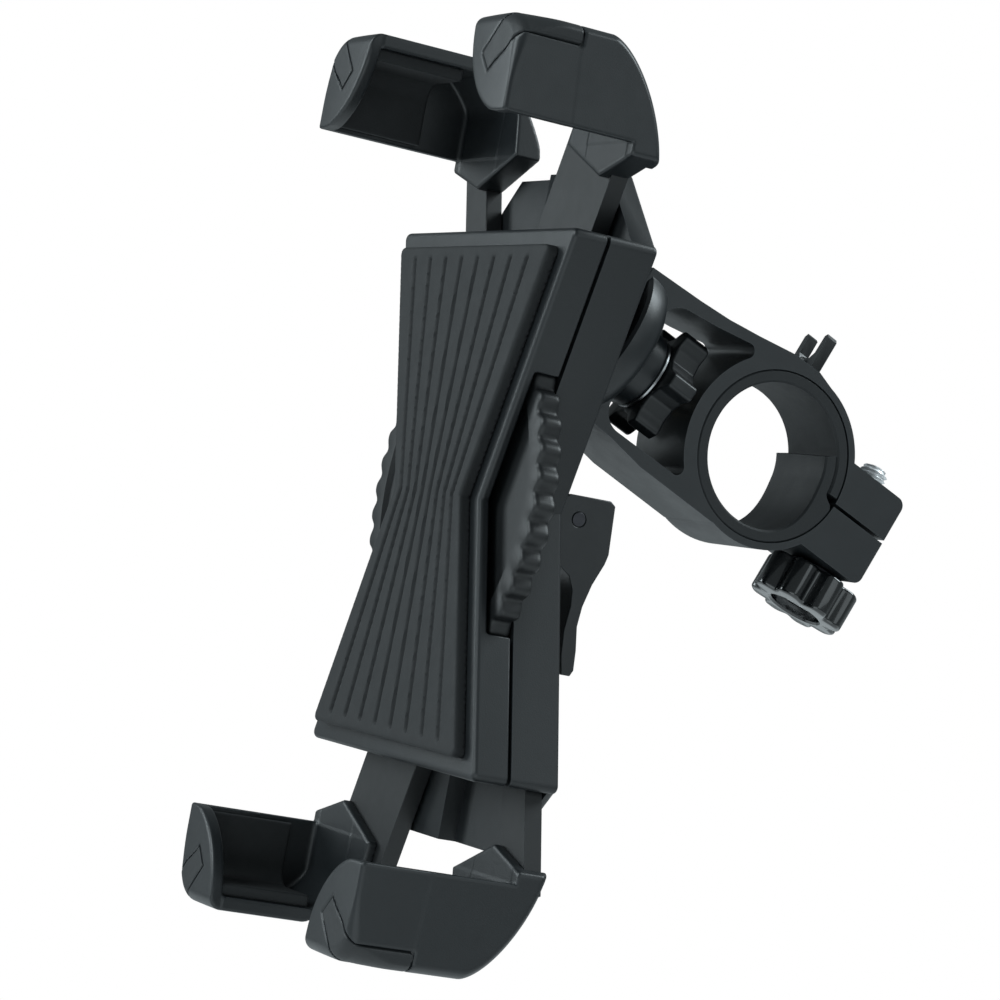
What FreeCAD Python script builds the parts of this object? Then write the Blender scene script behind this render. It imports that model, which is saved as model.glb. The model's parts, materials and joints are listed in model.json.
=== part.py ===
"""Bicycle phone mount: a handlebar clamp, a ball joint and an X-shaped cradle.

Row frame, millimetres: the origin is the centre of the handlebar bore, +X runs along the
handlebar, +Y points away from the phone, and +Z runs along the length of the phone.
Two local frames are used and are placed at the end of each part function:
  clamp frame  (x, u, v): u from the bore centre away from the ball joint, v across it
  cradle frame (x, d, h): d is the depth behind the phone's glass, h the height above centre
"""
import FreeCAD, Part
import math
import os

os.makedirs("parts", exist_ok=True)
V = FreeCAD.Vector
X_AXIS = V(1, 0, 0)
Y_AXIS = V(0, 1, 0)
Z_AXIS = V(0, 0, 1)

# ---- driving dimensions: handlebar clamp (clamp frame) ----
TILT = 22.7            # degrees between the clamp arm and the cradle's normal, as stored
BORE_R = 12.5          # rubber liner's bore, for a handlebar of up to 25.4 mm
LINER_T = 2.0          # liner thickness
RING_T = 1.2           # thickness of the ring's free wall
RING_IN_R = BORE_R + LINER_T
RING_OUT_R = RING_IN_R + RING_T
CLAMP_W = 17.0         # width along the handlebar
SLIT = 0.6             # gap between the two ears
EAR_END = 26.0         # u of the ears' free end
EAR_R = 1.6            # radius of the ears' outer corners
EAR_TOP = 7.6          # v of the upper ear's top
EAR_BOTTOM = -9.2      # v of the lower ear's underside
ARM_END = -34.4        # u of the lower side of the arm's end, inside the bell
ARM_TOP = [(-0.5, 16.4), (-6.6, 16.2), (-13.5, 14.95), (-19.8, 14.0), (-26.0, 13.5), (-36.4, 13.0)]     # (u, v)
ARM_BOTTOM = [(ARM_END, -13.8), (-27.0, -14.2), (-20.0, -15.2), (-3.5, -15.4)]                           # (u, v)
WINDOW_LEFT = -30.5    # u of the window's wall next to the ball joint
WINDOW_LOW = -12.8     # v of the window's lower wall
WINDOW_TOP = [(-5.0, 14.1), (-14.2, 13.0), (-21.0, 11.7), (-27.0, 10.9), (WINDOW_LEFT, 10.3)]            # (u, v)
WINDOW_R = 17.0        # radius of the window's wall round the bore
WINDOW_CORNERS = (3.8, 1.3)   # corner radii next to the ball joint and next to the ring

# ---- driving dimensions: ball joint (clamp frame) ----
BALL_REACH = 41.0      # bore centre to ball centre
BALL_R = 11.7
BALL_IN_R = 9.1
SEAT_R = 12.0          # radius of the bell's spherical seat
BELL_RIM_R = 14.5
BELL_SHOULDER = [(7.2, -28.6), (9.0, -29.4), (11.9, -30.3), (13.5, -31.5), (14.2, -33.0), (BELL_RIM_R, -34.6)]   # (r, u)
BOSS_R = 6.8
BOSS_END = -24.7       # u of the boss that the star nut bears on
STUD_R = 2.0           # M4 ball stud
STUD_END = -17.7       # u of the stud's free end
BARREL_R = 7.7         # radius of the stud's barrel-shaped head
STAR_U0, STAR_U1 = -23.9, -18.8
STAR_R = 10.1          # radius at the lobes' tips
STAR_LOBES = 6
STAR_PHASE = 3.0       # degrees from +x to the first lobe
STAR_PROFILE = [(-6.8, 10.1), (6.8, 10.1), (13.0, 8.0), (30.0, 6.9), (47.0, 8.0)]   # (degrees, radius) of a lobe
INSERT_R = 3.6         # brass bush in the star nut
STAR_WASHER_R = 6.6

# ---- driving dimensions: clamp screw ----
SCREW_R = 2.5          # M5
SCREW_U = 22.35
SCREW_TOP = 11.8       # v of the screw's threaded end
KNOB_TOP, KNOB_BOTTOM = -10.0, -16.9
KNOB_R = 8.6
KNOB_ROOT_R = 7.0
KNOB_LOBES = 8
KNOB_LOBE_R = 2.3
KNOB_PHASE = 6.5       # degrees from +x to the first lobe
RECESS_R, RECESS_DEPTH = 4.9, 3.4
HEAD_T, HEAD_FLATS = 2.8, 4.0   # hexagon head: height, half the width across flats
NUT_FLATS, NUT_T = 4.0, 3.2
RUN = 0.05             # radial running clearance of a shaft in its hole

# ---- driving dimensions: wing screw (clamp frame) ----
WING_X, WING_U = -1.7, 1.5
WING_SHANK_R = 1.5
WING_BOSS_R, WING_BOSS_TOP = 3.2, 17.2
WING_T = 2.0           # thickness along u
WING_OUTLINE = [(-3.9, 17.7), (3.9, 17.7), (3.9, 24.2), (3.3, 24.8), (2.6, 24.4), (2.5, 21.0), (1.6, 19.9),
                (-1.6, 19.9), (-2.5, 21.0), (-2.6, 24.4), (-3.3, 24.8), (-3.9, 24.2)]   # (x, v)

# ---- driving dimensions: cradle (cradle frame) ----
GLASS_Y = -64.9        # Y of the phone's glass
CRADLE_Z = -16.8       # Z of the cradle's centre
PHONE_L, PHONE_T = 138.1, 7.1
FACE_D = 9.5           # front face of the cradle body
SPLIT_D = 16.0         # parting plane of the two shells
SEAM = 0.45            # gap between the shells' rims; only their screw posts meet
BODY_EDGE_R = 1.2      # rounding of the body's four outer corners
BACK_D = 24.5          # back face
BACK_WALL = 1.4
FRONT_WALL = 1.8
SIDE_WALL = 1.6
WAIST = 16.0           # half width at the waist
SPLAY = 21.0           # degrees that the sides and the arms lean from the vertical
BODY_H = 43.5          # half height
TAIL_H, TAIL_W = 55.0, 19.0   # top edge of the back shell's end plates
TAIL_BASE = 32.1       # half width of the end plates where they leave the body
WHEEL_R = 31.0
WHEEL_D0, WHEEL_D1 = 12.0, 15.8
WHEEL_TEETH = 42
WINDOW_H = 20.6        # half height of the side windows for the wheel
PINION_TEETH = 11
MODULE = 1.0
PRESSURE = 25.0        # pressure angle of pinion and racks, degrees
PITCH_R = MODULE * PINION_TEETH / 2
LAYERS = {"front": (16.4, 19.4), "back": (19.8, 22.8)}   # depths of the two pairs of arms
ARM_OUT = 12.4         # outer edge of an arm from the line through the wheel's centre
WIDE_IN = 6.4          # far edge of the front pair's wide part, on the line's other side
EXTEND, RETRACT = 12.0, 10.0  # travel of the arms
ARM_TIP = 68.0         # length of an arm from the wheel's centre
ARM_GAP = 0.3          # clearance round an arm where it leaves the body
SLOT_START = 30.0      # where the arms' slots in the body begin
AXLE_R = 3.0
SHELL_SCREW_R = 1.1
POST_R = 2.6           # screw posts in both shells
SCREW_SPOTS = [(25.0, 38.2), (-16.0, 38.2), (16.0, -38.2), (-25.0, -38.2)]   # (x, h)

# ---- driving dimensions: corner claws (cradle frame, upper right) ----
CLAW_X, CLAW_H = 36.5, 73.6   # outer faces
CLAW_LOW = 57.8        # lower edge of the side wall
CLAW_FRONT = -8.4      # front of the lip
LIP_T = 2.2
LIP_R = 16.6           # the lip is a quarter disc
CLAW_WALL = 1.8
END_WALL = 2.4
CORNER_R = 3.0
CLAW_REAR = 1.2        # wall behind the arm's end
CLAW_CURVE = [(11.8, 0.0), (6.7, 3.5), (2.7, 9.9), (0.0, 18.6)]   # (forward of the back, below the top)
CLAW_BACK_WALL = 4.8   # thickness of the wall that the arm is screwed to
PAD_T = 1.1
ACCENT_T = 0.7

# ---- driving dimensions: quick-release lever (cradle frame) ----
LEVER_PIN_D = 30.1
LEVER_HALF_W = 11.0
LEVER_FLAT = 25.7      # depth of the cam's flat
EYE_HALF_W = 3.2
PIN_R = 1.2

SIN_T, COS_T = math.sin(math.radians(TILT)), math.cos(math.radians(TILT))
SIN_S, COS_S = math.sin(math.radians(SPLAY)), math.cos(math.radians(SPLAY))
TAN_S = SIN_S / COS_S
BALL_D = BALL_REACH * -COS_T - GLASS_Y        # ball centre in the cradle frame
BALL_H = BALL_REACH * SIN_T - CRADLE_Z


# ---- helpers ----
def cylinder(r, start, direction, length):
    return Part.makeCylinder(r, length, V(*start), V(*direction))


def box(x0, x1, y0, y1, z0, z1):
    return Part.makeBox(x1 - x0, y1 - y0, z1 - z0, V(x0, y0, z0))


def plate_x(points, x0, x1):
    """Prism along X of an outline given as (y, z) points."""
    wire = Part.makePolygon([V(x0, p[0], p[1]) for p in points + points[:1]])
    return Part.Face(wire).extrude(V(x1 - x0, 0, 0))


def plate_y(points, y0, y1):
    """Prism along Y of an outline given as (x, z) points."""
    wire = Part.makePolygon([V(p[0], y0, p[1]) for p in points + points[:1]])
    return Part.Face(wire).extrude(V(0, y1 - y0, 0))


def revolve_y(points):
    """Solid of revolution about the Y axis, from (r, y) points."""
    wire = Part.makePolygon([V(p[0], p[1], 0) for p in points + points[:1]])
    return Part.Face(wire).revolve(V(0, 0, 0), Y_AXIS, 360)


def fillet_near(shape, radius, test):
    """Round the edges whose middle passes a test."""
    chosen = []
    for edge in shape.Edges:
        if test(edge, edge.valueAt((edge.FirstParameter + edge.LastParameter) / 2)):
            chosen.append(edge)
    return shape.makeFillet(radius, chosen)


def is_straight(edge):
    return edge.Curve.TypeId == "Part::GeomLine"


def along(edge, axis):
    """Is this straight edge parallel to an axis?"""
    if not is_straight(edge):
        return False
    run = edge.valueAt(edge.LastParameter) - edge.valueAt(edge.FirstParameter)
    return abs(abs(run.normalize().dot(axis)) - 1) < 1e-6


def to_clamp(shape):
    """From the clamp frame to the row frame: the arm leans down by TILT."""
    moved = shape.copy()
    moved.rotate(V(0, 0, 0), X_AXIS, -TILT)
    return moved


def to_cradle(shape):
    """From the cradle frame to the row frame."""
    moved = shape.copy()
    moved.translate(V(0, GLASS_Y, CRADLE_Z))
    return moved


def save(name, shape):
    solids = shape.Solids
    result = solids[0] if len(solids) == 1 else Part.makeCompound(solids)
    result.exportStep("parts/" + name + ".step")
    print("%-24s solids %d  volume %9.1f  valid %s" % (name, len(solids), shape.Volume, shape.isValid()))


# ---- handlebar clamp ----
def clamp_outline():
    """Side view of the clamp arm, ring and ears, extruded along the handlebar."""
    half = CLAMP_W / 2
    ring = cylinder(RING_OUT_R, (-half, 0, 0), (1, 0, 0), CLAMP_W)
    shoulder_u = 5.9
    shoulder = (shoulder_u, math.sqrt(RING_OUT_R ** 2 - shoulder_u ** 2))
    arm = plate_x(ARM_BOTTOM + [(0, 0), shoulder] + ARM_TOP, -half, half)
    ears = box(-half, half, 4.0, EAR_END, EAR_BOTTOM, EAR_TOP)
    ears = fillet_near(ears, EAR_R, lambda e, m: along(e, X_AXIS) and m.y > EAR_END - 1)
    return ring.fuse([arm, ears]).removeSplitter()


def clamp_window():
    """Opening through the arm that the star nut turns in."""
    half = CLAMP_W / 2
    outline = [(WINDOW_LEFT, WINDOW_LOW), (WINDOW_TOP[0][0], WINDOW_LOW)] + WINDOW_TOP
    window = plate_x(outline, -half - 1, half + 1)
    window = window.cut(cylinder(WINDOW_R, (-half - 2, 0, 0), (1, 0, 0), CLAMP_W + 4))
    near_ball, near_ring = WINDOW_CORNERS
    window = fillet_near(window, near_ball, lambda e, m: along(e, X_AXIS) and m.y < WINDOW_LEFT + 1)
    return fillet_near(window, near_ring, lambda e, m: along(e, X_AXIS) and is_window_tip(m))


def is_window_tip(middle):
    """The two pointed corners of the window beside the ring."""
    return abs(math.hypot(middle.y, middle.z) - WINDOW_R) < 1e-4


def clamp_frame():
    half = CLAMP_W / 2
    solid = clamp_outline().cut(clamp_window())
    bell = revolve_y([(0, BOSS_END), (BOSS_R - 0.6, BOSS_END), (BOSS_R, BOSS_END - 0.6)] + BELL_SHOULDER
                     + [(BELL_RIM_R, -35.6), (BELL_RIM_R - 0.7, -36.0), (10.2, -35.2), (0, -35.2)])
    seat = Part.makeSphere(SEAT_R, V(0, -BALL_REACH, 0))
    solid = solid.fuse(bell).cut(seat)
    boss = cylinder(WING_BOSS_R, (WING_X, WING_U, RING_IN_R - 1), (0, 0, 1), WING_BOSS_TOP - RING_IN_R + 1)
    solid = solid.fuse(boss)
    solid = solid.cut(cylinder(RING_IN_R, (-half - 1, 0, 0), (1, 0, 0), CLAMP_W + 2))
    solid = solid.cut(box(-half - 1, half + 1, 0, EAR_END + 1, -SLIT, 0))
    solid = solid.cut(cylinder(STUD_R + RUN, (0, -BALL_REACH, 0), (0, 1, 0), BALL_REACH + BOSS_END + 1))
    solid = solid.cut(cylinder(SCREW_R + RUN, (0, SCREW_U, EAR_BOTTOM - 1), (0, 0, 1), 20))
    solid = solid.cut(nut_prism(NUT_FLATS + 0.05, NUT_T + 0.1))
    solid = solid.cut(cylinder(WING_SHANK_R + RUN, (WING_X, WING_U, 10), (0, 0, 1), 10))
    return to_clamp(solid.removeSplitter())


def nut_prism(half_flats, height):
    """Hexagon on the clamp screw's axis that stands on the slit's upper face."""
    reach = half_flats / math.cos(math.radians(30))
    corners = [(reach * math.cos(math.radians(60 * i)), SCREW_U + reach * math.sin(math.radians(60 * i)))
               for i in range(6)]
    wire = Part.makePolygon([V(c[0], c[1], 0) for c in corners + corners[:1]])
    return Part.Face(wire).extrude(V(0, 0, height))


def pinch_nut():
    """Hexagon nut let into the upper ear, open to the slit."""
    nut = nut_prism(NUT_FLATS, NUT_T)
    return to_clamp(nut.cut(cylinder(SCREW_R + RUN, (0, SCREW_U, -1), (0, 0, 1), 6)))


def ring_liner():
    """Rubber strip lining the ring, open at the slit."""
    half = CLAMP_W / 2
    liner = cylinder(RING_IN_R, (-half, 0, 0), (1, 0, 0), CLAMP_W)
    liner = liner.cut(cylinder(BORE_R, (-half - 1, 0, 0), (1, 0, 0), CLAMP_W + 2))
    return to_clamp(liner.cut(box(-half - 1, half + 1, 0, RING_IN_R + 1, -SLIT - 0.6, 0)))


def clamp_knob():
    """Hand knob: a core with round lobes standing out of it, and a recess for the screw's head."""
    length = KNOB_TOP - KNOB_BOTTOM
    knob = cylinder(KNOB_ROOT_R, (0, 0, KNOB_BOTTOM), (0, 0, 1), length)
    reach = KNOB_R - KNOB_LOBE_R
    for i in range(KNOB_LOBES):
        angle = math.radians(360 * i / KNOB_LOBES + KNOB_PHASE)
        at = (reach * math.cos(angle), reach * math.sin(angle), KNOB_BOTTOM)
        knob = knob.fuse(cylinder(KNOB_LOBE_R, at, (0, 0, 1), length))
    knob = knob.removeSplitter()
    knob = knob.cut(cylinder(RECESS_R, (0, 0, KNOB_BOTTOM - 1), (0, 0, 1), RECESS_DEPTH + 1))
    knob = knob.cut(cylinder(SCREW_R, (0, 0, KNOB_BOTTOM - 1), (0, 0, 1), 20))
    knob.translate(V(0, SCREW_U, 0))
    return to_clamp(knob)


def clamp_bolt():
    """M5 screw whose hexagon head sits in the knob's recess."""
    head_top = KNOB_BOTTOM + RECESS_DEPTH
    reach = HEAD_FLATS / math.cos(math.radians(30))
    corners = [V(reach * math.cos(math.radians(60 * i)), reach * math.sin(math.radians(60 * i)), head_top - HEAD_T)
               for i in range(6)]
    head = Part.Face(Part.makePolygon(corners + corners[:1])).extrude(V(0, 0, HEAD_T))
    shank = cylinder(SCREW_R, (0, 0, head_top - 1), (0, 0, 1), SCREW_TOP - head_top + 1)
    tip = shank.makeChamfer(0.5, [e for e in shank.Edges if abs(e.CenterOfMass.z - SCREW_TOP) < 1e-6])
    bolt = head.fuse(tip).removeSplitter()
    bolt.translate(V(0, SCREW_U, 0))
    return to_clamp(bolt)


def knob_washer():
    washer = cylinder(5.0, (0, SCREW_U, KNOB_TOP), (0, 0, 1), 0.8)
    return to_clamp(washer.cut(cylinder(SCREW_R, (0, SCREW_U, KNOB_TOP - 1), (0, 0, 1), 3)))


def wing_screw():
    """Small winged set screw on top of the ring."""
    shank = cylinder(WING_SHANK_R, (0, 0, WING_BOSS_TOP - 2.4), (0, 0, 1), 5)
    collar = cylinder(2.2, (0, 0, WING_BOSS_TOP + 0.3), (0, 0, 1), 1.8)
    wing = plate_y(WING_OUTLINE, -WING_T / 2, WING_T / 2)
    screw = shank.fuse([collar, wing]).removeSplitter()
    screw.translate(V(WING_X, WING_U, 0))
    return to_clamp(screw)


# ---- ball joint ----
def about_u(shape):
    """Turn a shape built along Z so that it lies along u."""
    moved = shape.copy()
    moved.rotate(V(0, 0, 0), X_AXIS, -90)
    return moved


def star_nut():
    """Hand nut with six tapering lobes."""
    points = []
    for i in range(STAR_LOBES):
        for degrees, radius in STAR_PROFILE:
            angle = math.radians(360 * i / STAR_LOBES + STAR_PHASE + degrees)
            points.append(V(radius * math.cos(angle), radius * math.sin(angle), STAR_U0))
    length = STAR_U1 - STAR_U0
    nut = Part.Face(Part.makePolygon(points + points[:1])).extrude(V(0, 0, length))
    nut = nut.cut(cylinder(INSERT_R, (0, 0, STAR_U0 - 1), (0, 0, 1), length + 2))
    return to_clamp(about_u(nut))


def star_nut_insert():
    """Threaded brass bush moulded into the star nut."""
    bush = cylinder(INSERT_R, (0, STAR_U0, 0), (0, 1, 0), STAR_U1 - STAR_U0)
    return to_clamp(bush.cut(cylinder(STUD_R + RUN, (0, STAR_U0 - 1, 0), (0, 1, 0), 10)))


def star_washer():
    washer = cylinder(STAR_WASHER_R, (0, BOSS_END, 0), (0, 1, 0), 0.5)
    return to_clamp(washer.cut(cylinder(STUD_R + RUN, (0, BOSS_END - 1, 0), (0, 1, 0), 3)))


def ball_stud():
    """M4 stud whose barrel-shaped head rocks in the slot washer."""
    barrel = cylinder(BARREL_R, (-4.0, 0, 0), (1, 0, 0), 8.0)
    head = barrel.common(box(-4.5, 4.5, 4.6, BARREL_R + 1, -4.2, 4.2))
    shank = cylinder(STUD_R, (0, 5, 0), (0, 1, 0), BALL_REACH + STUD_END - 5)
    stud = head.fuse(shank).removeSplitter()
    stud.translate(V(0, -BALL_REACH, 0))
    return to_clamp(stud)


def slot_washer():
    """Domed washer inside the ball; the barrel head rocks in its hollow and the stud in its slot."""
    outer, half_angle = BALL_IN_R - 0.15, math.radians(52)
    cup = Part.makeSphere(outer, V(0, 0, 0))
    cup = cup.common(cylinder(outer * math.sin(half_angle), (0, 4.6, 0), (0, 1, 0), 10))
    cup = cup.cut(cylinder(BARREL_R + RUN, (-12, 0, 0), (1, 0, 0), 24))
    reach = outer * math.sin(math.radians(40))
    washer = cup.cut(box(-STUD_R - 0.2, STUD_R + 0.2, 0, 12, -reach, reach))
    washer.translate(V(0, BALL_D, BALL_H))
    return to_cradle(washer)


def ball_dome():
    """Hollow ball on the cradle's back, with a skirt that sits in the back shell."""
    outer = Part.makeSphere(BALL_R, V(0, BALL_D, BALL_H))
    inner = Part.makeSphere(BALL_IN_R, V(0, BALL_D, BALL_H))
    outer = outer.common(box(-15, 15, BALL_D, BALL_D + 20, BALL_H - 15, BALL_H + 15))
    inner = inner.common(box(-15, 15, BALL_D, BALL_D + 20, BALL_H - 15, BALL_H + 15))
    skirt = cylinder(BALL_R, (0, BACK_D - BACK_WALL, BALL_H), (0, 1, 0), BALL_D - BACK_D + BACK_WALL)
    collar = cylinder(BALL_R + 1.2, (0, BACK_D, BALL_H), (0, 1, 0), 0.8)
    hollow = cylinder(BALL_IN_R, (0, BACK_D - BACK_WALL - 1, BALL_H), (0, 1, 0), BALL_D - BACK_D + BACK_WALL + 1)
    opening = Part.makeCone(0, 12 * math.tan(math.radians(38)), 12, V(0, BALL_D, BALL_H), Y_AXIS)
    dome = outer.fuse([skirt, collar]).cut(inner).cut(hollow).cut(opening)
    return to_cradle(dome.removeSplitter())


# ---- cradle shells ----
def hourglass(inset=0.0, height=BODY_H):
    """Outline of the cradle body, inset square to its sloping sides, as (x, z) points."""
    waist = WAIST - inset / COS_S
    end = waist + height * TAN_S
    return [(end, height), (waist, 0), (end, -height), (-end, -height), (-waist, 0), (-end, height)]


def arm_bar(kind, start, end, grow=0.0):
    """Flat bar of the upper right arm (front pair) or the lower right arm (back pair)."""
    depth0, depth1 = LAYERS[kind]
    near = PITCH_R - 0.8 - grow
    far = ARM_OUT + grow
    outline = [(start, near), (end, near), (end, far), (start, far)]
    return plate_y([arm_point(kind, p[0], p[1]) for p in outline], depth0 - grow, depth1 + grow)


def arm_point(kind, s, n):
    """(x, z) at distance s outwards along an arm and n to the pinion's far side from it."""
    if kind == "front":
        return (s * SIN_S - n * COS_S, s * COS_S + n * SIN_S)
    return (s * SIN_S + n * COS_S, -s * COS_S + n * SIN_S)


def half_turn(shape):
    """The same piece on the opposite corner."""
    moved = shape.copy()
    moved.rotate(V(0, 0, 0), Y_AXIS, 180)
    return moved


def body_block(depth0, depth1):
    """Solid body between two depths, with rounded corners."""
    block = plate_y(hourglass(), depth0, depth1)
    return fillet_near(block, BODY_EDGE_R, lambda e, m: along(e, Y_AXIS) and abs(m.z) > BODY_H - 1)


def front_shell():
    body = body_block(FACE_D, SPLIT_D - SEAM)
    body = body.cut(plate_y(hourglass(SIDE_WALL, BODY_H - SIDE_WALL), FACE_D + FRONT_WALL, SPLIT_D + 1))
    for side in (-1, 1):
        x0, x1 = sorted((side * 10, side * 40))
        body = body.cut(box(x0, x1, FACE_D + FRONT_WALL, SPLIT_D + 1, -WINDOW_H, WINDOW_H))
    body = body.cut(cylinder(WHEEL_R + 0.6, (0, FACE_D + FRONT_WALL, 0), (0, 1, 0), 10))
    pieces = [cylinder(POST_R, (x, FACE_D + FRONT_WALL, z), (0, 1, 0), SPLIT_D - FACE_D - FRONT_WALL)
              for x, z in SCREW_SPOTS]
    body = body.fuse(pieces)
    for x, z in SCREW_SPOTS:
        body = body.cut(cylinder(1.0, (x, FACE_D + FRONT_WALL, z), (0, 1, 0), 10))
    body = body.cut(cylinder(5.8, (0, FACE_D - 1, 0), (0, 1, 0), 1.9))
    body = body.cut(cylinder(AXLE_R + RUN, (0, FACE_D - 1, 0), (0, 1, 0), 20))
    body = fillet_near(body.removeSplitter(), 0.8, lambda e, m: abs(m.y - FACE_D) < 1e-6 and is_straight(e))
    return to_cradle(body)


def back_shell():
    body = body_block(SPLIT_D, BACK_D)
    body = body.cut(plate_y(hourglass(SIDE_WALL, BODY_H - SIDE_WALL), SPLIT_D - 1, BACK_D - BACK_WALL))
    plate = plate_y([(TAIL_BASE, BODY_H - 1), (TAIL_W, TAIL_H), (-TAIL_W, TAIL_H), (-TAIL_BASE, BODY_H - 1)],
                    BACK_D - BACK_WALL, BACK_D)
    thick = plate_y([(TAIL_BASE, BODY_H - 1), (TAIL_W, TAIL_H), (-2, TAIL_H), (-2, BODY_H - 1)],
                    LAYERS["back"][0] + 0.2, BACK_D)
    body = body.fuse([plate, thick, half_turn(plate), half_turn(thick)])
    for kind in LAYERS:
        slot = arm_bar(kind, SLOT_START, ARM_TIP + 20, ARM_GAP)
        if kind == "front":
            slot = slot.fuse(wide_part(SLOT_START, ARM_TIP + 20, ARM_GAP))
        body = body.cut(slot.fuse(half_turn(slot)))
    for x, z in SCREW_SPOTS:
        post = cylinder(POST_R, (x, SPLIT_D, z), (0, 1, 0), BACK_D - SPLIT_D - 0.5)
        body = body.fuse(post)
        body = body.cut(cylinder(SHELL_SCREW_R + 0.1, (x, SPLIT_D - 1, z), (0, 1, 0), 12))
        body = body.cut(cylinder(2.1, (x, BACK_D - 1.6, z), (0, 1, 0), 3))
    body = body.cut(cylinder(BALL_R + RUN, (0, BACK_D - 3, BALL_H), (0, 1, 0), 6))
    body = body.cut(cylinder(AXLE_R + RUN, (0, SPLIT_D, 0), (0, 1, 0), 12))
    body = fillet_near(body.removeSplitter(), 0.7, back_rim)
    return to_cradle(body)


def back_rim(edge, middle):
    """The back face's long outer edges."""
    if abs(middle.y - BACK_D) > 1e-6 or not is_straight(edge):
        return False
    return edge.Length > 10


def shell_screws():
    """Four screws with sunk cheese heads that join the two shells."""
    screws = []
    tip, under_head = FACE_D + FRONT_WALL + 0.6, BACK_D - 1.55
    for x, z in SCREW_SPOTS:
        shank = cylinder(SHELL_SCREW_R - 0.15, (x, tip, z), (0, 1, 0), under_head - tip + 0.5)
        head = cylinder(2.0, (x, under_head, z), (0, 1, 0), 1.2)
        screws.append(to_cradle(shank.fuse(head).removeSplitter()))
    return Part.makeCompound(screws)


def front_pad():
    """Rubber pad under the phone, glued in the front face's frame."""
    pad = plate_y(hourglass(3.0, BODY_H - 3.0), PHONE_T + 0.2, FACE_D)
    pad = fillet_near(pad, 0.5, lambda e, m: abs(m.y - PHONE_T - 0.2) < 1e-6)
    return to_cradle(pad)


# ---- wheel, pinion and axle ----
def thumb_wheel():
    """Disc with a scalloped rim that stands out of both sides of the body."""
    wheel = cylinder(WHEEL_R, (0, WHEEL_D0, 0), (0, 1, 0), WHEEL_D1 - WHEEL_D0)
    scallops = []
    for i in range(WHEEL_TEETH):
        angle = 2 * math.pi * i / WHEEL_TEETH
        at = ((WHEEL_R + 0.9) * math.cos(angle), WHEEL_D0 - 1, (WHEEL_R + 0.9) * math.sin(angle))
        scallops.append(cylinder(1.75, at, (0, 1, 0), WHEEL_D1 - WHEEL_D0 + 2))
    wheel = wheel.cut(Part.makeCompound(scallops))
    for d0, d1 in ((WHEEL_D0 - 1, WHEEL_D0 + 0.8), (WHEEL_D1 - 0.8, WHEEL_D1 + 1)):
        groove = cylinder(26.5, (0, d0, 0), (0, 1, 0), d1 - d0).cut(cylinder(9.0, (0, d0, 0), (0, 1, 0), d1 - d0))
        wheel = wheel.cut(groove)
    return to_cradle(wheel.cut(hexagon(4.6, WHEEL_D0 - 1, WHEEL_D1 + 1)))


def hexagon(half_flats, d0, d1):
    """Hexagonal prism about the wheel's axis."""
    reach = half_flats / math.cos(math.radians(30))
    return plate_y([(reach * math.cos(math.radians(60 * i)), reach * math.sin(math.radians(60 * i)))
                    for i in range(6)], d0, d1)


def involute_flank(base_r, tip_r, steps=5):
    """(radius, angle) pairs along an involute from its base circle to the tip circle."""
    flank = []
    for i in range(steps + 1):
        radius = base_r + (tip_r - base_r) * i / steps
        roll = math.sqrt((radius / base_r) ** 2 - 1)
        flank.append((radius, roll - math.atan(roll)))
    return flank


def pinion_outline():
    base_r = PITCH_R * math.cos(math.radians(PRESSURE))
    tip_r, root_r = PITCH_R + 0.75, PITCH_R - 1.15
    alpha = math.radians(PRESSURE)
    half_tooth = (math.pi * MODULE / 2 - 0.22) / 2 / PITCH_R + math.tan(alpha) - alpha
    points = []
    for i in range(PINION_TEETH):
        middle = 2 * math.pi * i / PINION_TEETH
        flank = [(root_r, 0.0)] + involute_flank(base_r, tip_r)
        for radius, turn in flank:
            angle = middle - half_tooth + turn
            points.append((radius * math.cos(angle), radius * math.sin(angle)))
        for radius, turn in reversed(flank):
            angle = middle + half_tooth - turn
            points.append((radius * math.cos(angle), radius * math.sin(angle)))
    return points


def pinion():
    """Pinion that drives both pairs of racks, with a hexagonal spigot in the wheel."""
    gear = plate_y(pinion_outline(), WHEEL_D1 + 0.3, LAYERS["back"][1])
    spigot = hexagon(4.55, WHEEL_D0 + 0.2, WHEEL_D1 + 0.3)
    gear = gear.fuse(spigot)
    return to_cradle(gear.cut(cylinder(AXLE_R + RUN, (0, WHEEL_D0 - 1, 0), (0, 1, 0), 14)))


def draw_bolt():
    """Axle of the wheel: head in the front shell, eye for the lever's pin at the back."""
    head = cylinder(5.6, (0, FACE_D + 0.05, 0), (0, 1, 0), 0.8)
    shaft = cylinder(AXLE_R, (0, FACE_D + 0.05, 0), (0, 1, 0), LEVER_PIN_D - FACE_D)
    eye = cylinder(3.4, (-EYE_HALF_W, LEVER_PIN_D, 0), (1, 0, 0), 2 * EYE_HALF_W)
    bolt = head.fuse([shaft, eye]).removeSplitter()
    return to_cradle(bolt.cut(cylinder(PIN_R, (-5, LEVER_PIN_D, 0), (1, 0, 0), 10)))


def lever_pin():
    return to_cradle(cylinder(PIN_R, (-LEVER_HALF_W, LEVER_PIN_D, 0), (1, 0, 0), 2 * LEVER_HALF_W))


def cam_plate():
    """Wear plate between the cam and the back shell."""
    plate = box(-11.5, 11.5, BACK_D, BACK_D + 0.9, -7.0, 6.0)
    plate = plate.makeFillet(2.0, [e for e in plate.Edges if along(e, Y_AXIS)])
    return to_cradle(plate.cut(cylinder(AXLE_R + RUN, (0, BACK_D - 1, 0), (0, 1, 0), 3)))


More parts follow.
